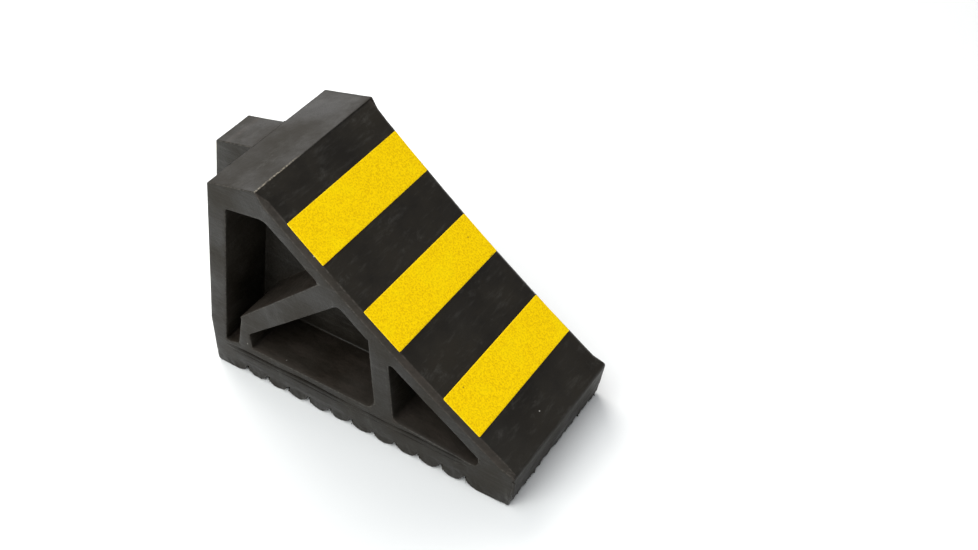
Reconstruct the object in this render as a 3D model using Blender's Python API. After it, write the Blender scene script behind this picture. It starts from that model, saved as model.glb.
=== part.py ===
# Wheel chock: one moulded rubber body with a handle fin, and four reflective strips.
# Metres, +Z up. X runs from the heel to the toe and Y across the width.
# The finished object stands on the ground with its origin under its middle.
import math

import bmesh
import bpy
from mathutils import Vector

# Driving dimensions. Side view places are (x, z), with x from the heel's lower corner.
WIDTH = 0.100
WALL_KINK = (0.0025, 0.0385)   # above it the back wall leans towards the toe
TOP_BACK = (0.0305, 0.1540)
TOP_FRONT = (0.0655, 0.1615)
FACE_END = (0.2215, 0.0280)    # lower end of the wheel face
TOE = (0.2165, 0.0015)
FACE_HOLLOW = 0.0042           # depth of the wheel face's curve below its chord
FACE_STEPS = 24
SIDE_CHAMFER = 0.0028          # along both sides of the wheel face

# Corner radii, seen from the side
HEEL_RADIUS = 0.0015
TOE_RADIUS = 0.0015
FACE_END_RADIUS = 0.0030
TOP_RADIUS = 0.0012
KINK_RADIUS = 0.0100

# Tread: rounded lugs across the width, with narrow grooves between them
GROOVE_COUNT = 11
FIRST_GROOVE = 0.0242
GROOVE_PITCH = 0.0162
GROOVE_FLAT = 0.0016
GROOVE_DEPTH = 0.0044
GROOVE_CAMBER = 0.0006         # extra depth half-way along the base
LUG_STEPS = 8
TOE_PAD_END = 0.2050

# Side pockets: corners are (x, z, radius); a solid web is left between the two sides
WEB_THICKNESS = 0.030
POCKET_OVERRUN = 0.005         # how far a pocket's cutter sticks out of the side
REAR_POCKET = [
    (0.0118, 0.0230, 0.0015), (0.0218, 0.0260, 0.0010), (0.0298, 0.0523, 0.0040),
    (0.0995, 0.1132, 0.0025), (0.0672, 0.1432, 0.0080), (0.0398, 0.1393, 0.0015),
]
MIDDLE_POCKET = [
    (0.0340, 0.0270, 0.0015), (0.0340, 0.0396, 0.0020), (0.1108, 0.1022, 0.0035),
    (0.1282, 0.0863, 0.0025), (0.1253, 0.0270, 0.0070),
]
TOE_POCKET = [
    (0.1393, 0.0260, 0.0040), (0.1412, 0.0755, 0.0020), (0.1965, 0.0312, 0.0035),
    (0.1970, 0.0215, 0.0040),
]

# Handle: a fin on the middle of the back wall, with two finger holes through it
HANDLE_THICKNESS = 0.028
HANDLE_DEPTH = 0.0270          # from the back wall to the fin's rear face
HANDLE_BOTTOM = 0.0340
HANDLE_ROOT_BOTTOM = 0.0315
HANDLE_DROP = 0.0004           # the fin's top sits this far below the wedge's top
HANDLE_OVERLAP = 0.0030        # how far the fin runs into the wedge
HANDLE_TOP_RADIUS = 0.0010
HANDLE_HEEL_RADIUS = 0.0020
REAR_BAR = 0.0102
HOLE_SETBACK = 0.0030          # rubber left between a hole and the back wall
HOLE_RADIUS = 0.0045
HOLE_SPANS = [(0.0518, 0.0890), (0.0990, 0.1350)]

# Reflective strips: places are fractions of the way down the wheel face
TAPE_WIDTH = 0.0287
TAPE_THICKNESS = 0.0009
TAPE_GAP = 0.0003
TAPE_STEPS = 6
STRIPE_PLACES = {
    "face_stripe_upper": 0.181,
    "face_stripe_middle": 0.478,
    "face_stripe_lower": 0.785,
}
HANDLE_STRIPE_MARGIN = 0.0003
HANDLE_STRIPE_SPAN = (0.0362, 0.1466)

RUBBER = (0.036, 0.033, 0.028)
RUBBER_ROUGHNESS = 0.72
TAPE_YELLOW = (0.88, 0.60, 0.012)
TAPE_ROUGHNESS = 0.45

# Limits used in the mesh work
SAME_POINT = 0.000001          # closer than this, two points are one
ON_FACE = 0.00001              # this near the wheel face's curve counts as on it
FLAT_ANGLE = math.radians(0.1)
SHARP_ANGLE = math.radians(20)


def face_circle():
    """Centre and radius of the wheel face's curve, which lies out on the tyre's side."""
    start = Vector(TOP_FRONT)
    end = Vector(FACE_END)
    chord = end - start
    half = chord.length / 2
    radius = (half ** 2 + FACE_HOLLOW ** 2) / (2 * FACE_HOLLOW)
    outward = Vector((-chord.y, chord.x)).normalized()
    return (start + end) / 2 + outward * (radius - FACE_HOLLOW), radius


FACE_CENTRE, FACE_RADIUS = face_circle()


def face_point(fraction, height=0.0):
    """A point part of the way down the wheel face, raised off it by height."""
    start = Vector(TOP_FRONT) - FACE_CENTRE
    end = Vector(FACE_END) - FACE_CENTRE
    turn = start.angle_signed(end) * fraction
    angle = math.atan2(start.y, start.x) - turn
    reach = FACE_RADIUS - height
    return (FACE_CENTRE.x + reach * math.cos(angle), FACE_CENTRE.y + reach * math.sin(angle))


def face_length():
    """Length of the wheel face, measured along its curve."""
    start = Vector(TOP_FRONT) - FACE_CENTRE
    end = Vector(FACE_END) - FACE_CENTRE
    return FACE_RADIUS * start.angle(end)


def behind_wall(distance, z):
    """A side view point at height z, this far behind the leaning back wall."""
    lean = (TOP_BACK[0] - WALL_KINK[0]) / (TOP_BACK[1] - WALL_KINK[1])
    return (TOP_BACK[0] + (z - TOP_BACK[1]) * lean - distance, z)


def top_height(x):
    """Height of the sloping top at x."""
    slope = (TOP_FRONT[1] - TOP_BACK[1]) / (TOP_FRONT[0] - TOP_BACK[0])
    return TOP_BACK[1] + (x - TOP_BACK[0]) * slope


def rounded(corners, steps=4):
    """An outline from (x, z, radius) corners, with each corner turned into an arc."""
    outline = []
    for index, (x, z, radius) in enumerate(corners):
        corner = Vector((x, z))
        if radius == 0:
            outline.append((x, z))
            continue
        before = (Vector(corners[index - 1][:2]) - corner).normalized()
        after = (Vector(corners[(index + 1) % len(corners)][:2]) - corner).normalized()
        half_angle = before.angle(after) / 2
        centre = corner + (before + after).normalized() * (radius / math.sin(half_angle))
        start = corner + before * (radius / math.tan(half_angle)) - centre
        end = corner + after * (radius / math.tan(half_angle)) - centre
        sweep = -start.angle_signed(end)
        for step in range(steps + 1):
            angle = math.atan2(start.y, start.x) + sweep * step / steps
            outline.append((centre.x + radius * math.cos(angle), centre.y + radius * math.sin(angle)))
    return outline


def tread_outline():
    """The underside from the heel to the toe pad: quarter and half ellipses between grooves."""
    lug_half = (GROOVE_PITCH - GROOVE_FLAT) / 2
    grooves = [FIRST_GROOVE + index * GROOVE_PITCH for index in range(GROOVE_COUNT)]
    middles = [groove - GROOVE_PITCH / 2 for groove in grooves] + [grooves[-1] + GROOVE_PITCH / 2]
    outline = []
    for index, middle in enumerate(middles):
        first = LUG_STEPS // 2 if index == 0 else 0
        last = LUG_STEPS // 2 if index == GROOVE_COUNT else LUG_STEPS
        for step in range(first, last + 1):
            angle = math.pi + math.pi * step / LUG_STEPS
            x = middle + lug_half * math.cos(angle)
            depth = GROOVE_DEPTH + GROOVE_CAMBER * math.sin(math.pi * x / TOE[0])
            outline.append((x, depth * (1 + math.sin(angle)), 0))
    return outline


def wedge_outline():
    """The whole side view of the wedge, anticlockwise from the heel."""
    wheel_face = [(*face_point(1 - step / FACE_STEPS), 0) for step in range(1, FACE_STEPS)]
    return rounded(
        [(0.0, 0.0, HEEL_RADIUS)]
        + tread_outline()
        + [(TOE_PAD_END, 0.0, 0), (*TOE, TOE_RADIUS), (*FACE_END, FACE_END_RADIUS)]
        + wheel_face
        + [(*TOP_FRONT, TOP_RADIUS), (*TOP_BACK, TOP_RADIUS), (*WALL_KINK, KINK_RADIUS)]
    )


def handle_outline():
    """The fin's side view. Its front edge is buried in the wedge."""
    rear_top = behind_wall(HANDLE_DEPTH, top_height(behind_wall(HANDLE_DEPTH, TOP_BACK[1])[0]))
    front_top = behind_wall(-HANDLE_OVERLAP, TOP_BACK[1])
    return rounded([
        (front_top[0], top_height(front_top[0]) - HANDLE_DROP, 0),
        (rear_top[0], rear_top[1] - HANDLE_DROP, HANDLE_TOP_RADIUS),
        (*behind_wall(HANDLE_DEPTH, HANDLE_BOTTOM), HANDLE_HEEL_RADIUS),
        (*behind_wall(-HANDLE_OVERLAP, HANDLE_ROOT_BOTTOM), 0),
    ])


def hole_outline(low, high):
    """A finger hole: a rounded slot that leans with the back wall."""
    far = HANDLE_DEPTH - REAR_BAR
    corners = [(far, low), (HOLE_SETBACK, low), (HOLE_SETBACK, high), (far, high)]
    return rounded([(*behind_wall(*corner), HOLE_RADIUS) for corner in corners])


def stripe_outline(place):
    """A strip's side view: a thin band that follows the wheel face."""
    half = TAPE_WIDTH / face_length() / 2
    fractions = [place - half + 2 * half * step / TAPE_STEPS for step in range(TAPE_STEPS + 1)]
    under = [face_point(fraction, TAPE_GAP) for fraction in fractions]
    over = [face_point(fraction, TAPE_GAP + TAPE_THICKNESS) for fraction in reversed(fractions)]
    return under + over


def handle_stripe_outline():
    """The handle strip's side view: a thin band on the fin's rear face."""
    low, high = HANDLE_STRIPE_SPAN
    inner = HANDLE_DEPTH + TAPE_GAP
    outer = inner + TAPE_THICKNESS
    return [behind_wall(d, z) for d, z in ((inner, low), (inner, high), (outer, high), (outer, low))]


def new_collection(name):
    collection = bpy.data.collections.new(name)
    bpy.context.scene.collection.children.link(collection)
    return collection


def slab(name, outlines, y_low, y_high, collection):
    """An upright slab: the first outline filled, less any others, from y_low to y_high."""
    curve = bpy.data.curves.new(name, "CURVE")
    curve.dimensions = "2D"
    curve.fill_mode = "BOTH"
    curve.extrude = (y_high - y_low) / 2
    for outline in outlines:
        spline = curve.splines.new("POLY")
        spline.points.add(len(outline) - 1)
        for point, (x, z) in zip(spline.points, outline):
            point.co = (x, z, 0, 1)
        spline.use_cyclic_u = True
    drawn = bpy.data.objects.new(name + "_outline", curve)
    drawn.location.y = (y_low + y_high) / 2
    drawn.rotation_euler.x = math.pi / 2
    collection.objects.link(drawn)
    bpy.context.view_layer.update()
    mesh = bpy.data.meshes.new_from_object(drawn.evaluated_get(bpy.context.evaluated_depsgraph_get()))
    shape = bmesh.new()
    shape.from_mesh(mesh)
    bmesh.ops.remove_doubles(shape, verts=shape.verts, dist=SAME_POINT)
    bmesh.ops.dissolve_limit(shape, angle_limit=FLAT_ANGLE, verts=shape.verts, edges=shape.edges)
    bmesh.ops.recalc_face_normals(shape, faces=shape.faces)
    shape.to_mesh(mesh)
    shape.free()
    solid = bpy.data.objects.new(name, mesh)
    solid.matrix_world = drawn.matrix_world
    collection.objects.link(solid)
    bpy.data.objects.remove(drawn)
    return solid


def chamfer_wheel_face(wedge):
    """Bevel the two long edges between the wheel face and the sides, then split the sides up."""
    shape = bmesh.new()
    shape.from_mesh(wedge.data)
    half_width = WIDTH / 2

    def on_side_of_face(vertex):
        off_face = abs((Vector(vertex.co[:2]) - FACE_CENTRE).length - FACE_RADIUS)
        return off_face < ON_FACE and abs(abs(vertex.co.z) - half_width) < SAME_POINT

    edges = [
        edge for edge in shape.edges
        if all(on_side_of_face(vertex) for vertex in edge.verts)
        and abs(edge.verts[0].co.z - edge.verts[1].co.z) < half_width
    ]
    bmesh.ops.bevel(
        shape, geom=edges, offset=SIDE_CHAMFER, segments=1, affect="EDGES", profile=0.5, material=-1,
    )
    bmesh.ops.remove_doubles(shape, verts=shape.verts, dist=SAME_POINT)
    sides = [face for face in shape.faces if len(face.verts) > 4]
    bmesh.ops.triangulate(shape, faces=sides, ngon_method="BEAUTY")
    shape.to_mesh(wedge.data)
    shape.free()


def combine(body, tool, operation):
    modifier = body.modifiers.new(tool.name, "BOOLEAN")
    modifier.operation = operation
    modifier.object = tool
    tool.display_type = "WIRE"
    tool.hide_render = True


def finish(solid, colour, roughness):
    """Give a part its own material and shade it with sharp edges kept."""
    material = bpy.data.materials.new(solid.name)
    material.use_nodes = True
    shader = material.node_tree.nodes["Principled BSDF"]
    shader.inputs["Base Color"].default_value = (*colour, 1)
    shader.inputs["Roughness"].default_value = roughness
    shader.inputs["Metallic"].default_value = 0
    material.diffuse_color = (*colour, 1)
    solid.data.materials.clear()
    solid.data.materials.append(material)
    solid.data.shade_smooth()
    solid.data.set_sharp_from_angle(angle=SHARP_ANGLE)


def make_body(parts, tools):
    """The rubber moulding: wedge, handle fin and side pockets."""
    body = slab("chock_body", [wedge_outline()], -WIDTH / 2, WIDTH / 2, parts)
    chamfer_wheel_face(body)
    fin_outlines = [handle_outline()] + [hole_outline(*span) for span in HOLE_SPANS]
    fin = slab("handle_fin", fin_outlines, -HANDLE_THICKNESS / 2, HANDLE_THICKNESS / 2, tools)
    combine(body, fin, "UNION")
    pockets = {"rear": REAR_POCKET, "middle": MIDDLE_POCKET, "toe": TOE_POCKET}
    past_side = WIDTH / 2 + POCKET_OVERRUN
    for name, corners in pockets.items():
        for side, low, high in (
            ("near", -past_side, -WEB_THICKNESS / 2),
            ("far", WEB_THICKNESS / 2, past_side),
        ):
            cutter = slab(f"{name}_pocket_{side}", [rounded(corners)], low, high, tools)
            combine(body, cutter, "DIFFERENCE")
    finish(body, RUBBER, RUBBER_ROUGHNESS)
    return body


def make_stripes(parts):
    """Three strips across the wheel face and one down the handle's rear face."""
    stripes = []
    half = WIDTH / 2 - SIDE_CHAMFER
    for name, place in STRIPE_PLACES.items():
        stripes.append(slab(name, [stripe_outline(place)], -half, half, parts))
    half = HANDLE_THICKNESS / 2 - HANDLE_STRIPE_MARGIN
    stripes.append(slab("handle_stripe", [handle_stripe_outline()], -half, half, parts))
    for stripe in stripes:
        finish(stripe, TAPE_YELLOW, TAPE_ROUGHNESS)
    return stripes


def centre_over_origin(solids, tools):
    """Slide everything along X so that the origin is under the middle of the whole object."""
    depsgraph = bpy.context.evaluated_depsgraph_get()
    reach = []
    for solid in solids:
        evaluated = solid.evaluated_get(depsgraph)
        reach += [(evaluated.matrix_world @ vertex.co).x for vertex in evaluated.data.vertices]
    middle = (min(reach) + max(reach)) / 2
    for item in list(solids) + list(tools.objects):
        item.location.x -= middle


def main():
    for item in list(bpy.data.objects):
        bpy.data.objects.remove(item, do_unlink=True)
    parts = new_collection("wheel_chock")
    tools = new_collection("cutters")
    body = make_body(parts, tools)
    stripes = make_stripes(parts)
    bpy.context.view_layer.update()
    centre_over_origin([body] + stripes, tools)


main()
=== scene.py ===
import math
import random

import bmesh
import bpy
from mathutils import Euler, Matrix, Vector, noise
from mathutils.bvhtree import BVHTree


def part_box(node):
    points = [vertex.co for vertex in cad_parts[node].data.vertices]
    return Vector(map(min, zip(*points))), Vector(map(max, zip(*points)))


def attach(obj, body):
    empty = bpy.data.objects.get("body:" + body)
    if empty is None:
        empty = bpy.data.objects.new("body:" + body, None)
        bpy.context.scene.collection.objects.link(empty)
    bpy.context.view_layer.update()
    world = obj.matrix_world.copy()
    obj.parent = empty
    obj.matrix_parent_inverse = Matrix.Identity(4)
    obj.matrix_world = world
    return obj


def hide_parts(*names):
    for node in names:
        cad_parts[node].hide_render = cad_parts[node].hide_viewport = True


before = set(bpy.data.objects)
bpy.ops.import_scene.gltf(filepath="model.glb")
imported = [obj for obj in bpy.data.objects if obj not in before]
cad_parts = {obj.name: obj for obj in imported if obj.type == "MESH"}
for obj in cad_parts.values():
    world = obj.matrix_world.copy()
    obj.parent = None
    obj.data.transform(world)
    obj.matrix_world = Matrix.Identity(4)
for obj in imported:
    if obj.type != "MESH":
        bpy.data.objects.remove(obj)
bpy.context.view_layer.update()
bodyLow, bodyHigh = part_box("chock_body")

samePoint = 0.00001     # metres; closer than this, two points are one
wearTurn = 0.2          # radians; an edge that turns outwards more than this gets worn


def mergedCopy(node, flatAngle):
    # a CAD node comes as loose triangles, so its copy is welded and its flat faces put together
    shape = bmesh.new()
    shape.from_mesh(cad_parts[node].data)
    bmesh.ops.remove_doubles(shape, verts=shape.verts, dist=samePoint)
    bmesh.ops.dissolve_limit(shape, angle_limit=math.radians(flatAngle), verts=shape.verts, edges=shape.edges)
    return shape


def bevelEdges(shape, edges, width, segments, mark=None):
    # with a mark, the middle row of each outward bevel is noted, for the wear that the rubber's edges get and
    # for the painted highlight along the tape's rim
    made = bmesh.ops.bevel(
        shape, geom=edges, offset=width, segments=segments, affect="EDGES", profile=0.5, material=-1,
    )
    if mark:
        rounds = set(made["faces"])
        for vert in made["verts"]:
            inside = all(face in rounds for face in vert.link_faces)
            if inside and max(edge.calc_face_angle_signed(0) for edge in vert.link_edges) > wearTurn:
                vert[mark] = 1
    return made


def cutThrough(shape, axis, step, low, high, keep=None):
    # cuts straight through the mesh at even steps, so that it has points to move
    normal = Vector((axis == "x", axis == "y", axis == "z"))
    count = max(1, round((high - low) / step))
    for index in range(1, count):
        faces = shape.faces if keep is None else [face for face in shape.faces if keep(face)]
        edges = set(edge for face in faces for edge in face.edges) if keep else shape.edges
        verts = set(vert for face in faces for vert in face.verts) if keep else shape.verts
        place = normal * (low + (high - low) * index / count)
        geom = list(verts) + list(edges) + list(faces)
        bmesh.ops.bisect_plane(shape, geom=geom, dist=samePoint, plane_co=place, plane_no=normal)


def makePiece(name, shape, material, smoothAngle):
    mesh = bpy.data.meshes.new(name)
    shape.to_mesh(mesh)
    shape.free()
    mesh.shade_smooth()
    mesh.set_sharp_from_angle(angle=math.radians(smoothAngle))
    mesh.materials.append(material)
    piece = bpy.data.objects.new(name, mesh)
    bpy.context.scene.collection.objects.link(piece)
    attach(piece, "root")
    return piece


def smoothStep(value, low, high):
    share = min(1, max(0, (value - low) / (high - low)))
    return share * share * (3 - 2 * share)


def noiseAt(x, y, z):
    return noise.noise(Vector((x, y, z)))


def newGroup(name, inputs, outputs):
    group = bpy.data.node_groups.new(name, "ShaderNodeTree")
    for socketName, kind, value in inputs:
        socket = group.interface.new_socket(socketName, in_out="INPUT", socket_type=kind)
        if value is not None:
            socket.default_value = value
    for socketName, kind in outputs:
        group.interface.new_socket(socketName, in_out="OUTPUT", socket_type=kind)
    start = group.nodes.new("NodeGroupInput")
    end = group.nodes.new("NodeGroupOutput")
    return group, start, end


def addNode(tree, kind, settings=None, values=None):
    node = tree.nodes.new(kind)
    for key, value in (settings or {}).items():
        setattr(node, key, value)
    for key, value in (values or {}).items():
        node.inputs[key].default_value = value
    return node


def mathNode(tree, operation, first, second=None, clamp=False):
    node = addNode(tree, "ShaderNodeMath", {"operation": operation, "use_clamp": clamp})
    for index, value in enumerate((first, second)):
        if value is None:
            continue
        if isinstance(value, (int, float)):
            node.inputs[index].default_value = value
        else:
            tree.links.new(value, node.inputs[index])
    return node.outputs[0]


def rangeNode(tree, value, fromLow, fromHigh, toLow=0.0, toHigh=1.0):
    node = addNode(tree, "ShaderNodeMapRange", {"interpolation_type": "SMOOTHSTEP"})
    for index, limit in enumerate((fromLow, fromHigh, toLow, toHigh), start=1):
        if isinstance(limit, (int, float)):
            node.inputs[index].default_value = limit
        else:
            tree.links.new(limit, node.inputs[index])
    tree.links.new(value, node.inputs[0])
    return node.outputs[0]


def mixColours(tree, factor, first, second):
    node = addNode(tree, "ShaderNodeMix", {"data_type": "RGBA"})
    for socket, value in ((node.inputs[0], factor), (node.inputs[6], first), (node.inputs[7], second)):
        if isinstance(value, (tuple, float, int)):
            socket.default_value = value
        else:
            tree.links.new(value, socket)
    return node.outputs[2]


def noiseNode(tree, place, scale, detail=2.0, roughness=0.5, stretch=None):
    if stretch:
        mapping = addNode(tree, "ShaderNodeMapping")
        mapping.inputs["Scale"].default_value = stretch
        tree.links.new(place, mapping.inputs["Vector"])
        place = mapping.outputs["Vector"]
    node = addNode(tree, "ShaderNodeTexNoise", {"noise_dimensions": "3D"})
    node.inputs["Detail"].default_value = detail
    node.inputs["Roughness"].default_value = roughness
    if isinstance(scale, (int, float)):
        node.inputs["Scale"].default_value = scale
    else:
        tree.links.new(scale, node.inputs["Scale"])
    tree.links.new(place, node.inputs["Vector"])
    return node.outputs["Fac"]


def makeEdgeWearAndRimHighlight():
    # turns an edge mask into ragged patches: worn patches on the rubber's edges, and a painted highlight
    # along the tape's rim
    group, start, end = newGroup(
        "edge wear and rim highlight",
        [
            ("Place", "NodeSocketVector", None), ("Edge", "NodeSocketFloat", 0.0),
            ("Scale", "NodeSocketFloat", 300.0), ("Amount", "NodeSocketFloat", 0.5),
        ],
        [("Mask", "NodeSocketFloat")],
    )
    patches = noiseNode(group, start.outputs["Place"], start.outputs["Scale"], 4.0, 0.6)
    broken = mathNode(group, "MULTIPLY", start.outputs["Edge"], rangeNode(group, patches, 0.36, 0.66))
    group.links.new(mathNode(group, "MULTIPLY", broken, start.outputs["Amount"], True), end.inputs["Mask"])
    return group


def makeDust():
    # sparse pale specks: only a few of the cells hold one
    group, start, end = newGroup(
        "dust specks",
        [
            ("Place", "NodeSocketVector", None), ("Scale", "NodeSocketFloat", 120.0),
            ("Size", "NodeSocketFloat", 0.06), ("Share", "NodeSocketFloat", 0.05),
        ],
        [("Mask", "NodeSocketFloat")],
    )
    cells = addNode(group, "ShaderNodeTexVoronoi", {"feature": "F1"})
    group.links.new(start.outputs["Place"], cells.inputs["Vector"])
    group.links.new(start.outputs["Scale"], cells.inputs["Scale"])
    chosen = addNode(group, "ShaderNodeSeparateColor")
    group.links.new(cells.outputs["Color"], chosen.inputs[0])
    picked = mathNode(group, "LESS_THAN", chosen.outputs[0], start.outputs["Share"])
    near = mathNode(group, "LESS_THAN", cells.outputs["Distance"], start.outputs["Size"])
    group.links.new(mathNode(group, "MULTIPLY", picked, near), end.inputs["Mask"])
    return group


def makeGrain():
    # fine height pattern: a coarse layer and a fine layer of noise
    group, start, end = newGroup(
        "surface grain",
        [
            ("Place", "NodeSocketVector", None), ("Coarse", "NodeSocketFloat", 400.0),
            ("Fine", "NodeSocketFloat", 1800.0), ("Fine Share", "NodeSocketFloat", 0.4),
        ],
        [("Height", "NodeSocketFloat")],
    )
    coarse = noiseNode(group, start.outputs["Place"], start.outputs["Coarse"], 3.0, 0.55)
    fine = noiseNode(group, start.outputs["Place"], start.outputs["Fine"], 2.0, 0.6)
    share = mathNode(group, "MULTIPLY", fine, start.outputs["Fine Share"])
    group.links.new(mathNode(group, "ADD", coarse, share), end.inputs["Height"])
    return group


edgeWearAndRimHighlight = makeEdgeWearAndRimHighlight()
dustSpecks = makeDust()
surfaceGrain = makeGrain()


def useGroup(tree, group, place, values):
    node = addNode(tree, "ShaderNodeGroup", {"node_tree": group}, values)
    tree.links.new(place, node.inputs["Place"])
    return node


def newMaterial(name):
    material = bpy.data.materials.new(name)
    material.use_nodes = True
    tree = material.node_tree
    shader = tree.nodes["Principled BSDF"]
    place = addNode(tree, "ShaderNodeTexCoord").outputs["Object"]
    return material, tree, shader, place


def attributeValue(tree, name):
    return addNode(tree, "ShaderNodeAttribute", {"attribute_name": name}).outputs["Fac"]


def addBumps(tree, shader, layers):
    # each layer is (height, strength, distance), the broadest first
    normal = None
    for height, strength, distance in layers:
        bump = addNode(tree, "ShaderNodeBump", values={"Strength": strength, "Distance": distance})
        tree.links.new(height, bump.inputs["Height"])
        if normal:
            tree.links.new(normal, bump.inputs["Normal"])
        normal = bump.outputs["Normal"]
    tree.links.new(normal, shader.inputs["Normal"])


rubberLooks = {
    "dark": (0.0068, 0.0050, 0.0028, 1),
    "usual": (0.0136, 0.0102, 0.0056, 1),
    "bloom": (0.0230, 0.0212, 0.0180, 1),     # pale bloom that rubber gets
    "worn": (0.070, 0.063, 0.052, 1),
    "rubbed": (0.21, 0.18, 0.13, 1),
    "scuff": (0.048, 0.045, 0.039, 1),
    "upLit": (0.034, 0.026, 0.020, 1),      # painted highlight on the pockets' floors and the ribs
    "dust": (0.36, 0.34, 0.31, 1),
    "blotchScale": 26.0,
    "blotchRange": (0.32, 0.68),
    "bloomScale": 9.0,
    "bloomRange": (0.48, 0.78, 0.0, 0.55),    # noise from, to, then mask from, to
    "streakScale": 60.0,
    "streakStretch": (0.25, 1.0, 7.0),
    "streakRange": (0.50, 0.78, 0.0, 0.42),
    "scuffScale": 95.0,
    "scuffStretch": (1.0, 0.5, 0.22),
    "scuffRange": (0.56, 0.76, 0.0, 0.70),
    "upLitScale": 85.0,
    "upLitStretch": (0.45, 1.6, 1.0),
    "upLitRange": (0.34, 0.70, 0.25, 1.0),
    "edgeWearAndRimHighlight": {"Scale": 520.0, "Amount": 0.8},
    "rubWear": {"Scale": 900.0, "Amount": 1.0},
    "specks": {"Scale": 150.0, "Size": 0.07, "Share": 0.035},
    "grain": {"Coarse": 420.0, "Fine": 2100.0, "Fine Share": 0.5},
    "roughRange": (0.3, 0.7, 0.38, 0.72),
    "wornShine": 0.08,                        # worn edges are this much less rough
    "specular": 0.27,
    "blotchBump": (0.45, 0.0011),             # strength, then height in metres
    "streakBump": (0.45, 0.0004),
    "grainBump": (0.50, 0.00022),
}


def makeRubber():
    looks = rubberLooks
    material, tree, shader, place = newMaterial("moulded rubber")
    blotches = noiseNode(tree, place, looks["blotchScale"], 5.0, 0.62)
    bloom = noiseNode(tree, place, looks["bloomScale"], 4.0, 0.55)
    base = mixColours(tree, rangeNode(tree, blotches, *looks["blotchRange"]), looks["dark"], looks["usual"])
    base = mixColours(tree, rangeNode(tree, bloom, *looks["bloomRange"]), base, looks["bloom"])

    # streaks left by the mould's machined walls, finer across than along
    streaks = noiseNode(tree, place, looks["streakScale"], 4.0, 0.7, stretch=looks["streakStretch"])
    scuffs = noiseNode(tree, place, looks["scuffScale"], 5.0, 0.75, stretch=looks["scuffStretch"])
    base = mixColours(tree, rangeNode(tree, streaks, *looks["streakRange"]), base, looks["scuff"])
    base = mixColours(tree, rangeNode(tree, scuffs, *looks["scuffRange"]), base, looks["scuff"])

    wear = useGroup(tree, edgeWearAndRimHighlight, place, looks["edgeWearAndRimHighlight"])
    tree.links.new(attributeValue(tree, "edge"), wear.inputs["Edge"])
    base = mixColours(tree, wear.outputs["Mask"], base, looks["worn"])
    rubbed = useGroup(tree, edgeWearAndRimHighlight, place, looks["rubWear"])
    tree.links.new(attributeValue(tree, "rub"), rubbed.inputs["Edge"])
    base = mixColours(tree, rubbed.outputs["Mask"], base, looks["rubbed"])
    # painted highlight: the up-facing pocket floors and ribs and the wheel face's chamfers are made paler, as
    # if lit from above
    upLit = noiseNode(tree, place, looks["upLitScale"], 5.0, 0.72, stretch=looks["upLitStretch"])
    upLitShare = rangeNode(tree, upLit, *looks["upLitRange"])
    upLitMask = mathNode(tree, "MULTIPLY", upLitShare, attributeValue(tree, "litFromAbove"), True)
    base = mixColours(tree, upLitMask, base, looks["upLit"])
    dust = useGroup(tree, dustSpecks, place, looks["specks"])
    base = mixColours(tree, dust.outputs["Mask"], base, looks["dust"])
    tree.links.new(base, shader.inputs["Base Color"])

    grain = useGroup(tree, surfaceGrain, place, looks["grain"])
    roughness = rangeNode(tree, blotches, *looks["roughRange"])
    shine = mathNode(tree, "MULTIPLY", wear.outputs["Mask"], looks["wornShine"])
    tree.links.new(mathNode(tree, "SUBTRACT", roughness, shine, True), shader.inputs["Roughness"])
    shader.inputs["Specular IOR Level"].default_value = looks["specular"]
    addBumps(tree, shader, [
        (blotches, *looks["blotchBump"]),
        (streaks, *looks["streakBump"]),
        (grain.outputs["Height"], *looks["grainBump"]),
    ])
    return material


tapeLooks = {
    "deep": (0.76, 0.46, 0.0012, 1),
    "usual": (1.0, 0.67, 0.0006, 1),
    "bright": (1.0, 0.76, 0.0012, 1),
    # the rim colour is a painted highlight along the tape's rounded edge, where its bevel catches the light
    "rim": (1.0, 0.82, 0.05, 1),
    "grime": (0.30, 0.17, 0.010, 1),
    "beadScale": 1300.0,
    "beadRange": (0.12, 0.42, 0.42, 0.0),     # distance from, to, then mask from, to
    "clumpScale": 980.0,
    "clumpRange": (0.34, 0.60),
    "cloudScale": 55.0,
    "cloudRange": (0.45, 0.75, 0.0, 0.35),
    "rimHighlight": {"Scale": 150.0, "Amount": 0.6},
    "specks": {"Scale": 210.0, "Size": 0.10, "Share": 0.02},
    "grain": {"Coarse": 900.0, "Fine": 2600.0, "Fine Share": 0.5},
    "roughRange": (0.3, 0.7, 0.38, 0.58),
    "specular": 0.05,
    "grainBump": (0.5, 0.00022),              # strength, then height in metres
}


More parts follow.
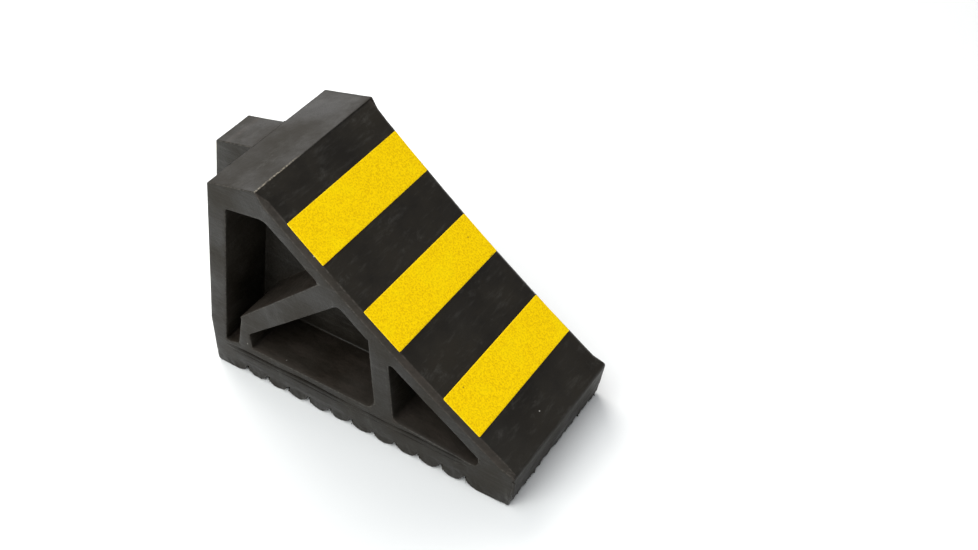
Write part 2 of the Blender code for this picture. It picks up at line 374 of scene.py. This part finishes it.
def makeTape():
    looks = tapeLooks
    material, tree, shader, place = newMaterial("reflective tape")
    beads = addNode(tree, "ShaderNodeTexVoronoi", {"feature": "F1"}, {"Scale": looks["beadScale"]})
    tree.links.new(place, beads.inputs["Vector"])
    clumps = noiseNode(tree, place, looks["clumpScale"], 3.0, 0.65)
    clouds = noiseNode(tree, place, looks["cloudScale"], 3.0, 0.5)
    base = mixColours(tree, rangeNode(tree, clumps, *looks["clumpRange"]), looks["deep"], looks["usual"])
    base = mixColours(tree, rangeNode(tree, clouds, *looks["cloudRange"]), base, looks["bright"])
    beadMask = rangeNode(tree, beads.outputs["Distance"], *looks["beadRange"])
    base = mixColours(tree, beadMask, base, looks["bright"])
    # painted highlight: the tape's rim is made paler along its rounded edge
    rim = useGroup(tree, edgeWearAndRimHighlight, place, looks["rimHighlight"])
    tree.links.new(attributeValue(tree, "edge"), rim.inputs["Edge"])
    base = mixColours(tree, rim.outputs["Mask"], base, looks["rim"])
    grime = useGroup(tree, dustSpecks, place, looks["specks"])
    base = mixColours(tree, grime.outputs["Mask"], base, looks["grime"])
    tree.links.new(base, shader.inputs["Base Color"])
    tree.links.new(rangeNode(tree, clumps, *looks["roughRange"]), shader.inputs["Roughness"])
    shader.inputs["Specular IOR Level"].default_value = looks["specular"]
    grain = useGroup(tree, surfaceGrain, place, looks["grain"])
    addBumps(tree, shader, [(grain.outputs["Height"], *looks["grainBump"])])
    return material


rubber = makeRubber()
tape = makeTape()
print("materials made")


bodyShape = {
    "weldAngle": 0.2,            # degrees
    "sideFacing": 0.95,          # how nearly a side's normals point straight out
    "backFacing": (0.85, 0.2),   # at least this much backwards, at most this much sideways
    "alongWidth": 0.99,
    "backChamfer": 0.0019,       # down both upright edges of the back wall
    "arcReach": 0.0020,          # the corner arcs at its top and heel are left out
    "edgeRound": 0.0007,
    "sharpTurn": 32,             # degrees; edges that turn more than this get rounded
    "smoothTurn": 40,            # degrees; less than this is shaded smooth
    "sliceStep": 0.0026,
}

treadShape = {
    "top": 0.0066,               # the lugs and grooves are below this
    "fade": 0.004,               # and their unevenness dies away over this much more
    "step": 0.0012,
    "depthShift": 0.12,
    "depthSwing": 0.50,          # how unequal the grooves' depths are
    "depthScale": (52, 5),
    "endBand": 0.0060,           # lug ends, measured in from each side
    "endRagged": 0.0004,
    "endBite": 0.0005,
    "lift": 0.0005,              # uneven undersides, most at the lug ends
    "liftFade": 0.003,
    "liftInside": 0.35,
}

toeShape = {
    "step": 0.0011,
    "reach": 0.0055,             # height of the ragged lower edge
    "run": 0.01045,              # and how far back it goes
    "low": 0.0015,
    "tear": 0.0007,
    "bite": 0.0006,
    "lift": 0.0008,
}

rubbedEdge = {
    "length": 0.040,             # along the top's front edge, from the near side
    "fade": 0.014,
    "reach": 0.0005,
    "cuts": (-0.0009, -0.0002, 0.0002, 0.0008),
}

# where the painted highlight goes: what faces up inside the pockets, and the wheel face's chamfers
litFromAboveParts = {
    "facePoint": (-0.0320, 0, 0.1615),      # a point on the wheel face, and the way it faces
    "faceWay": (0.650, 0, 0.760),
    "below": 0.0075,
    "height": (0.012, 0.150),
    "fromHeel": 0.034,
    "sideMargin": 0.0004,
    "facingUp": (0.25, 0.85),
    "chamferShare": 0.85,
    "chamferTurn": (0.35, 0.93),
    "chamferRise": 0.2,
}

partingLine = {
    "height": 0.0210,
    "wander": 0.00035,
    "start": 0.012,              # from the heel
    "startFade": 0.006,
    "end": 0.190,
    "endFade": 0.010,
    "depth": 0.00150,
    "weakest": 0.30,
    "swing": 1.9,                # how unequal the line is along its length
    "swingRange": (-0.35, 0.35),
    "half": 0.00060,
    "second": 0.0026,            # a fainter line runs this far below the first
    "secondShare": 0.7,
    "step": 0.00060,             # the foot below the line stands proud by this much
    "stepFade": 0.0012,
    "footFade": (0.006, 0.013),
    "sideMargin": 0.0006,
    "cut": 0.0003,
    "cutBelow": 0.0042,
    "cutAbove": 0.0012,
}

mouldedSurface = {
    "wave": 0.00016,
    "waveScale": 38,
    "lump": 0.00009,
    "lumpScale": 150,
}

halfWidth = bodyHigh.y


def isSide(face):
    return abs(face.normal.y) > bodyShape["sideFacing"]


def isBack(face):
    backwards, sideways = bodyShape["backFacing"]
    return face.normal.x < -backwards and abs(face.normal.y) < sideways


def backEdges(shape):
    # the upright edges of the back wall, without the little arcs at their ends
    found = []
    wallTop = max(vert.co.z for face in shape.faces if isBack(face) for vert in face.verts)
    for edge in shape.edges:
        atSide = all(abs(vert.co.y) > halfWidth - samePoint for vert in edge.verts)
        middle = (edge.verts[0].co.z + edge.verts[1].co.z) / 2
        clear = bodyShape["arcReach"] < middle < wallTop - bodyShape["arcReach"]
        if atSide and clear and any(isBack(face) for face in edge.link_faces):
            found.append(edge)
    return found


def roundableEdges(shape):
    found = []
    for edge in shape.edges:
        if len(edge.link_faces) != 2 or edge.calc_face_angle() < math.radians(bodyShape["sharpTurn"]):
            continue
        across = abs((edge.verts[0].co - edge.verts[1].co).normalized().y) > bodyShape["alongWidth"]
        inLugs = max(vert.co.z for vert in edge.verts) < treadShape["top"]
        if not (across and inLugs):
            found.append(edge)
    return found


def moveTread(vert):
    # every groove has its own depth, and the lug ends are ragged
    x, y, z = vert.co
    top = treadShape["top"]
    if z > top + treadShape["fade"]:
        return
    fade = 1 - smoothStep(z, top, top + treadShape["fade"])
    alongScale, acrossScale = treadShape["depthScale"]
    deeper = noiseAt(x * alongScale, 3.1, y * acrossScale)
    vert.co.z += z * (treadShape["depthShift"] + treadShape["depthSwing"] * deeper) * fade
    endShare = smoothStep(abs(y), halfWidth - treadShape["endBand"], halfWidth)
    ragged = treadShape["endRagged"] * noiseAt(x * 330, y * 60, z * 260)
    bite = treadShape["endBite"] * max(0, noiseAt(x * 140 + 9, y * 40, 5.5))
    vert.co.y -= math.copysign(1, y) * endShare * fade * (ragged + bite)
    lift = treadShape["lift"] * max(0, noiseAt(x * 260, y * 120, 1.7))
    inside = treadShape["liftInside"]
    vert.co.z += lift * (1 - smoothStep(z, 0.0, treadShape["liftFade"])) * (inside + (1 - inside) * endShare)


def nearToe(point):
    return point.x > bodyHigh.x - toeShape["run"] and point.z < toeShape["reach"]


def moveToe(vert):
    # tears along the toe's lower edge
    if not nearToe(vert.co):
        return
    x, y, z = vert.co
    reach = smoothStep(x, bodyHigh.x - toeShape["run"], bodyHigh.x - toeShape["reach"])
    reach *= 1 - smoothStep(z, toeShape["low"], toeShape["reach"])
    tears = toeShape["tear"] * noiseAt(2.0, y * 420, z * 150)
    bites = toeShape["bite"] * noiseAt(7.0, y * 130, z * 90)
    vert.co.x += reach * (tears + bites)
    vert.co.z += reach * toeShape["lift"] * noiseAt(x * 90, y * 260, 4.0)


def rubTopEdge(shape):
    # the near end of the top's front edge is rubbed pale, along the edge itself
    midWidth = [vert for vert in shape.verts if abs(vert.co.y) < halfWidth / 2]
    crest = max(midWidth, key=lambda vert: vert.co.z).co.copy()
    for offset in rubbedEdge["cuts"]:
        geom = list(shape.verts) + list(shape.edges) + list(shape.faces)
        place = crest + Vector((offset, 0, 0))
        bmesh.ops.bisect_plane(shape, geom=geom, dist=samePoint, plane_co=place, plane_no=(1, 0, 0))
    rub = shape.verts.layers.float.new("rub")
    reach = rubbedEdge["reach"]
    rubEnd = bodyLow.y + rubbedEdge["length"]
    for vert in shape.verts:
        if abs(vert.co.x - crest.x) < reach and vert.co.z > crest.z - reach:
            vert[rub] = 1 - smoothStep(vert.co.y, rubEnd - rubbedEdge["fade"], rubEnd)


def isInPocket(point):
    low, high = litFromAboveParts["height"]
    depth = (point - Vector(litFromAboveParts["facePoint"])).dot(Vector(litFromAboveParts["faceWay"]))
    clearOfFace = depth < -litFromAboveParts["below"]
    clearOfSides = abs(point.y) < halfWidth - litFromAboveParts["sideMargin"]
    clearOfHeel = point.x > bodyLow.x + litFromAboveParts["fromHeel"]
    return clearOfFace and clearOfSides and clearOfHeel and low < point.z < high


def isFaceChamfer(face):
    low, high = litFromAboveParts["chamferTurn"]
    rise = litFromAboveParts["chamferRise"]
    return low < abs(face.normal.y) < high and face.normal.x > rise and face.normal.z > rise


def markLitFromAbove(shape):
    # what faces up inside the pockets and the wheel face's chamfers get a painted highlight, where the light
    # from above falls
    litFromAbove = shape.verts.layers.float.new("litFromAbove")
    for vert in shape.verts:
        if isInPocket(vert.co):
            vert[litFromAbove] = smoothStep(vert.normal.z, *litFromAboveParts["facingUp"])
    for face in shape.faces:
        if isFaceChamfer(face):
            for vert in face.verts:
                vert[litFromAbove] = max(vert[litFromAbove], litFromAboveParts["chamferShare"])


def moveParting(vert, heel):
    line = partingLine
    x, y, z = vert.co
    if abs(y) < halfWidth - line["sideMargin"]:
        return
    start = heel + line["start"]
    end = heel + line["end"]
    along = smoothStep(x, start, start + line["startFade"]) * (1 - smoothStep(x, end - line["endFade"], end))
    height = line["height"] + line["wander"] * noiseAt(x * 45, y * 20, 0.3)
    strength = line["weakest"] + line["swing"] * smoothStep(noiseAt(x * 42, y * 20, 2.2), *line["swingRange"])
    groove = math.exp(-((z - height) / line["half"]) ** 2)
    groove += line["secondShare"] * math.exp(-((z - height + line["second"]) / line["half"]) ** 2)
    below = 1 - smoothStep(z, height - line["stepFade"], height)
    below *= smoothStep(z, *line["footFade"])
    outward = line["step"] * below - line["depth"] * groove * strength
    vert.co.y += math.copysign(1, y) * along * outward


def moveSurface(vert, normal):
    # rubber that has cooled in a mould is never quite flat
    x, y, z = vert.co * mouldedSurface["waveScale"]
    wave = mouldedSurface["wave"] * noiseAt(x, y, z)
    x, y, z = vert.co * mouldedSurface["lumpScale"]
    lump = mouldedSurface["lump"] * noiseAt(x + 4, y, z)
    vert.co += normal * (wave + lump)


def cutFine(shape):
    # small steps where the lugs, the toe's lower edge and the parting line need them
    margin = bodyShape["sliceStep"]
    low = partingLine["height"] - partingLine["cutBelow"]
    high = partingLine["height"] + partingLine["cutAbove"]

    def inTread(face):
        return face.calc_center_median().z < treadShape["top"] and isSide(face)

    def atToe(face):
        return nearToe(face.calc_center_median())

    def nearLine(face):
        return isSide(face) and low - margin < face.calc_center_median().z < high + margin

    cutThrough(shape, "x", treadShape["step"], bodyLow.x, bodyHigh.x, inTread)
    cutThrough(shape, "z", treadShape["step"], 0.0, treadShape["top"], inTread)
    cutThrough(shape, "y", toeShape["step"], bodyLow.y, bodyHigh.y, atToe)
    cutThrough(shape, "z", partingLine["cut"], low, high, nearLine)


def makeBody():
    shape = mergedCopy("chock_body", bodyShape["weldAngle"])
    mark = shape.verts.layers.float.new("edge")
    heel = min(vert.co.x for vert in shape.verts if abs(vert.co.y) > halfWidth - samePoint)
    bevelEdges(shape, backEdges(shape), bodyShape["backChamfer"], 2, mark)
    edges = roundableEdges(shape)
    print("body edges to round:", len(edges))
    bevelEdges(shape, edges, bodyShape["edgeRound"], 2, mark)
    bmesh.ops.recalc_face_normals(shape, faces=shape.faces)
    for vert in shape.verts:
        # the bevels overshoot a little where three of them meet
        vert.co = [min(max(value, low), high) for value, low, high in zip(vert.co, bodyLow, bodyHigh)]
    for axis, low, high in zip("xzy", bodyLow.xzy, bodyHigh.xzy):
        cutThrough(shape, axis, bodyShape["sliceStep"], low, high)
    print("body sliced:", len(shape.faces), "faces")
    cutFine(shape)
    shape.normal_update()
    rubTopEdge(shape)
    markLitFromAbove(shape)
    normals = {vert: vert.normal.copy() for vert in shape.verts}
    for vert in shape.verts:
        moveSurface(vert, normals[vert])
        moveParting(vert, heel)
        moveTread(vert)
        moveToe(vert)
        vert.co.z = max(vert.co.z, 0.0)
    return shape


body = makePiece("rubber_body", makeBody(), rubber, bodyShape["smoothTurn"])
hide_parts("chock_body")
print("rubber body made:", len(body.data.polygons), "faces")


stripShape = {
    "weldAngle": 0.01,           # degrees
    "facing": 0.9,               # how nearly the top's normals point outwards
    "underFacing": 0.5,
    "cornerTurn": 1,             # radians; an upright edge that turns more is a corner
    "rimTurn": 0.7,              # and an edge of the top that turns more is its rim
    "rimFacing": 0.7,
    "topDrop": 0.00050,          # the tape is thinner than its CAD solid
    "underDrop": 0.00024,        # and its underside comes down to the glue line
    "handleInset": 0.0009,
    "cornerRound": 0.0006,
    "rimRound": 0.00022,
    "grainStep": (0.0047 / 8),
    "downStep": 0.7,             # the steps down the strip are finer by this
    "bead": 0.00005,
    "beadScale": 1300.0,
    "beadLayers": ((1.1, 1.0), (0.45, 0.6)),     # scale and share of each layer of beads
    "sway": 0.00006,
    "swayScale": 60,
    "smoothTurn": 50,            # degrees; less than this is shaded smooth
}


def stripEdges(shape, outward):
    # the upright corners first, then the edges around the top
    def isUpright(edge):
        return abs((edge.verts[0].co - edge.verts[1].co).normalized().dot(outward)) > stripShape["facing"]

    def isRim(edge):
        faces = [face for face in edge.link_faces if face.normal.dot(outward) > stripShape["rimFacing"]]
        return edge.calc_face_angle() > stripShape["rimTurn"] and len(faces) > 0

    turn = stripShape["cornerTurn"]
    corners = [edge for edge in shape.edges if isUpright(edge) and edge.calc_face_angle() > turn]
    bevelEdges(shape, corners, stripShape["cornerRound"], 4)
    shape.normal_update()
    return [edge for edge in shape.edges if isRim(edge)]


def makeStrip(name, node, outward, inset=0.0):
    def isTop(face):
        return face.normal.dot(outward) > stripShape["facing"]

    shape = mergedCopy(node, stripShape["weldAngle"])
    mark = shape.verts.layers.float.new("edge")
    low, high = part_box(node)
    outward = Vector(outward).normalized()
    for vert in shape.verts:
        isUnder = any(face.normal.dot(outward) < -stripShape["underFacing"] for face in vert.link_faces)
        vert.co -= outward * (stripShape["underDrop"] if isUnder else stripShape["topDrop"])
        vert.co.y -= math.copysign(inset, vert.co.y)
    bevelEdges(shape, stripEdges(shape, outward), stripShape["rimRound"], 2, mark)
    shape.normal_update()
    cutThrough(shape, "y", stripShape["grainStep"], low.y, high.y, isTop)
    cutThrough(shape, "z", stripShape["grainStep"] * stripShape["downStep"], low.z, high.z, isTop)
    shape.normal_update()
    normals = {vert: vert.normal.copy() for vert in shape.verts if all(map(isTop, vert.link_faces))}
    for vert, normal in normals.items():
        place = vert.co * stripShape["beadScale"]
        bead = sum(share * noise.noise(place * scale) for scale, share in stripShape["beadLayers"])
        sway = noise.noise(vert.co * stripShape["swayScale"])
        vert.co += normal * (stripShape["bead"] * bead + stripShape["sway"] * sway)
    piece = makePiece(name, shape, tape, stripShape["smoothTurn"])
    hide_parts(node)
    print(name, "made:", len(piece.data.polygons), "faces")


def faceNormal(node):
    # the way a strip faces, upwards, from its own broadest face
    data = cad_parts[node].data
    broad = max(data.polygons, key=lambda polygon: polygon.area)
    return broad.normal if broad.normal.z > 0 else -broad.normal


for place in ("upper", "middle", "lower"):
    makeStrip("tape_" + place, "face_stripe_" + place, faceNormal("face_stripe_" + place))
handleNormal = faceNormal("handle_stripe")
handleNormal = handleNormal if handleNormal.x < 0 else -handleNormal
makeStrip("tape_handle", "handle_stripe", handleNormal, stripShape["handleInset"])


# little tags of rubber that squeezed out of the mould's joint
flashLooks = {
    "seed": 7,
    "toeTags": 80,
    "toeRoots": (0.0006, 0.0016),            # back from the toe's edge
    "toeHeights": (0.0009, 0.0024),
    "toeBand": 0.0025,
    "toeSpread": 0.97,                       # share of the half width
    "toeSideways": (-0.7, 0.7),              # how the tags lean
    "toeUpwards": (-0.15, 0.35),
    "lugTags": 34,                           # along each side
    "lugRoot": 0.0009,                       # in from the side
    "lugHeights": (0.0012, 0.0040),
    "lugRun": (0.03, 0.01),                  # kept clear of, from the handle's end and from the toe
    "lugSideways": (-0.9, 0.9),
    "lugUpwards": (-0.3, 0.1),
    "length": (0.0006, 0.0014),
    "radius": (0.00030, 0.00070),
    "flatness": (0.45, 1.0),
    "sides": 8,
    "rootDepth": 0.0001,
    "tip": 0.55,                             # the tip's radius as a share of the root's
    "sunk": 0.25,                            # a tag's middle is this share of its length past its root
    "flapLow": (0.1222, -0.0500, 0.0115),    # a sliver that stands up from the near toe corner
    "flapHigh": (0.1232, -0.0500, 0.0250),
    "flapRadii": (0.0003, 0.0010),
    "flapFlat": 0.45,
    "smoothTurn": 50,                        # degrees; less than this is shaded smooth
}


def addTag(shape, chance, root, direction):
    direction = direction.normalized()
    length = chance.uniform(*flashLooks["length"])
    radius = chance.uniform(*flashLooks["radius"])
    turn = direction.to_track_quat("Z", "Y").to_matrix().to_4x4()
    place = Matrix.Translation(root + direction * length * flashLooks["sunk"])
    flat = Matrix.Diagonal((1.0, chance.uniform(*flashLooks["flatness"]), 1.0, 1.0))
    bmesh.ops.create_cone(
        shape, cap_ends=True, segments=flashLooks["sides"], depth=length, matrix=place @ turn @ flat,
        radius1=radius, radius2=radius * flashLooks["tip"],
    )


def addFlap(shape):
    low = Vector(flashLooks["flapLow"])
    high = Vector(flashLooks["flapHigh"])
    lowRadius, highRadius = flashLooks["flapRadii"]
    turn = (high - low).to_track_quat("Z", "Y").to_matrix().to_4x4()
    flat = Matrix.Diagonal((flashLooks["flapFlat"], 1.0, 1.0, 1.0))
    bmesh.ops.create_cone(
        shape, cap_ends=True, segments=flashLooks["sides"], radius1=lowRadius, radius2=highRadius,
        depth=(high - low).length, matrix=Matrix.Translation((low + high) / 2) @ turn @ flat,
    )


def isRooted(surface, point):
    # a tag only grows out of rubber, never out of the gap between two lugs
    near, normal, _, _ = surface.find_nearest(point)
    return (point - near).dot(normal) < -flashLooks["rootDepth"]


def makeFlash():
    looks = flashLooks
    shape = bmesh.new()
    for name in ("edge", "rub", "litFromAbove"):
        shape.verts.layers.float.new(name)
    chance = random.Random(looks["seed"])
    data = body.data
    points = [vert.co for vert in data.vertices]
    surface = BVHTree.FromPolygons(points, [face.vertices for face in data.polygons])
    toeX = max(vert.co.x for vert in data.vertices if nearToe(vert.co) and vert.co.z < looks["toeBand"])
    for _ in range(looks["toeTags"]):
        across = chance.uniform(-looks["toeSpread"], looks["toeSpread"]) * halfWidth
        along = toeX - chance.uniform(*looks["toeRoots"])
        root = Vector((along, across, chance.uniform(*looks["toeHeights"])))
        direction = Vector((1.0, chance.uniform(*looks["toeSideways"]), chance.uniform(*looks["toeUpwards"])))
        if isRooted(surface, root):
            addTag(shape, chance, root, direction)
    heelRun, toeRun = looks["lugRun"]
    for side in (-1, 1):
        for _ in range(looks["lugTags"]):
            along = chance.uniform(bodyLow.x + heelRun, toeX - toeRun)
            across = side * (halfWidth - looks["lugRoot"])
            root = Vector((along, across, chance.uniform(*looks["lugHeights"])))
            sideways = chance.uniform(*looks["lugSideways"])
            direction = Vector((sideways, side, chance.uniform(*looks["lugUpwards"])))
            if isRooted(surface, root):
                addTag(shape, chance, root, direction)
    addFlap(shape)
    return shape


flash = makePiece("mould_flash", makeFlash(), rubber, flashLooks["smoothTurn"])
print("flash made:", len(flash.data.polygons), "faces")


stageLooks = {
    "floorSize": 60.0,
    "floorDrop": 0.0002,         # keeps the floor clear of the lugs' flat undersides
    "floorColour": (0.86, 0.86, 0.85, 1),
    "floorRoughness": 0.85,
    "sky": (0.92, 0.95, 1.0, 1),
    "skyStrength": 0.38,
    "lights": [
        # name, place, aim, size, power, colour
        ("key", (-0.90, 0.62, 1.05), (0.0, 0.0, 0.05), 1.0, 16.5, (1.0, 0.985, 0.96)),
        ("overhead", (0.05, -0.45, 1.35), (0.0, 0.0, 0.0), 1.2, 14.0, (0.97, 0.99, 1.0)),
        ("front", (-0.45, -1.10, 0.48), (0.0, 0.0, 0.03), 0.9, 9.0, (0.96, 1.0, 0.98)),
    ],
}

cameraLooks = {
    "place": (0.3456, -0.3812, 0.5506),
    "azimuth": 34.85,
    "elevation": 44.43,
    "roll": -2.42,
    "lens": 44.4,
    "sensor": 36,
    "shift": (-0.0048, 0.0317),
}


def makeFloor():
    shape = bmesh.new()
    place = Matrix.Translation((0, 0, -stageLooks["floorDrop"]))
    bmesh.ops.create_grid(shape, x_segments=2, y_segments=2, size=stageLooks["floorSize"] / 2, matrix=place)
    mesh = bpy.data.meshes.new("floor")
    shape.to_mesh(mesh)
    shape.free()
    material = bpy.data.materials.new("pale floor")
    material.use_nodes = True
    shader = material.node_tree.nodes["Principled BSDF"]
    shader.inputs["Base Color"].default_value = stageLooks["floorColour"]
    shader.inputs["Roughness"].default_value = stageLooks["floorRoughness"]
    mesh.materials.append(material)
    floor = bpy.data.objects.new("floor", mesh)
    bpy.context.scene.collection.objects.link(floor)


def makeLights():
    world = bpy.data.worlds.new("studio")
    bpy.context.scene.world = world
    world.use_nodes = True
    background = world.node_tree.nodes["Background"]
    background.inputs["Color"].default_value = stageLooks["sky"]
    background.inputs["Strength"].default_value = stageLooks["skyStrength"]
    for name, place, aim, size, power, colour in stageLooks["lights"]:
        data = bpy.data.lights.new(name, "AREA")
        data.shape = "SQUARE"
        data.size = size
        data.energy = power
        data.color = colour
        light = bpy.data.objects.new(name, data)
        light.location = place
        light.rotation_euler = (Vector(place) - Vector(aim)).to_track_quat("Z", "Y").to_euler()
        bpy.context.scene.collection.objects.link(light)


def makeCamera():
    data = bpy.data.cameras.new("camera")
    data.lens = cameraLooks["lens"]
    data.sensor_width = cameraLooks["sensor"]
    data.shift_x, data.shift_y = cameraLooks["shift"]
    camera = bpy.data.objects.new("camera", data)
    tilt = Euler((math.radians(90 - cameraLooks["elevation"]), 0, math.radians(cameraLooks["azimuth"])))
    turn = tilt.to_matrix() @ Matrix.Rotation(math.radians(cameraLooks["roll"]), 3, "Z")
    camera.matrix_world = Matrix.Translation(cameraLooks["place"]) @ turn.to_4x4()
    bpy.context.scene.collection.objects.link(camera)
    bpy.context.scene.camera = camera


makeFloor()
makeLights()
makeCamera()
bpy.context.scene.view_settings.view_transform = "Standard"
print("stage made")
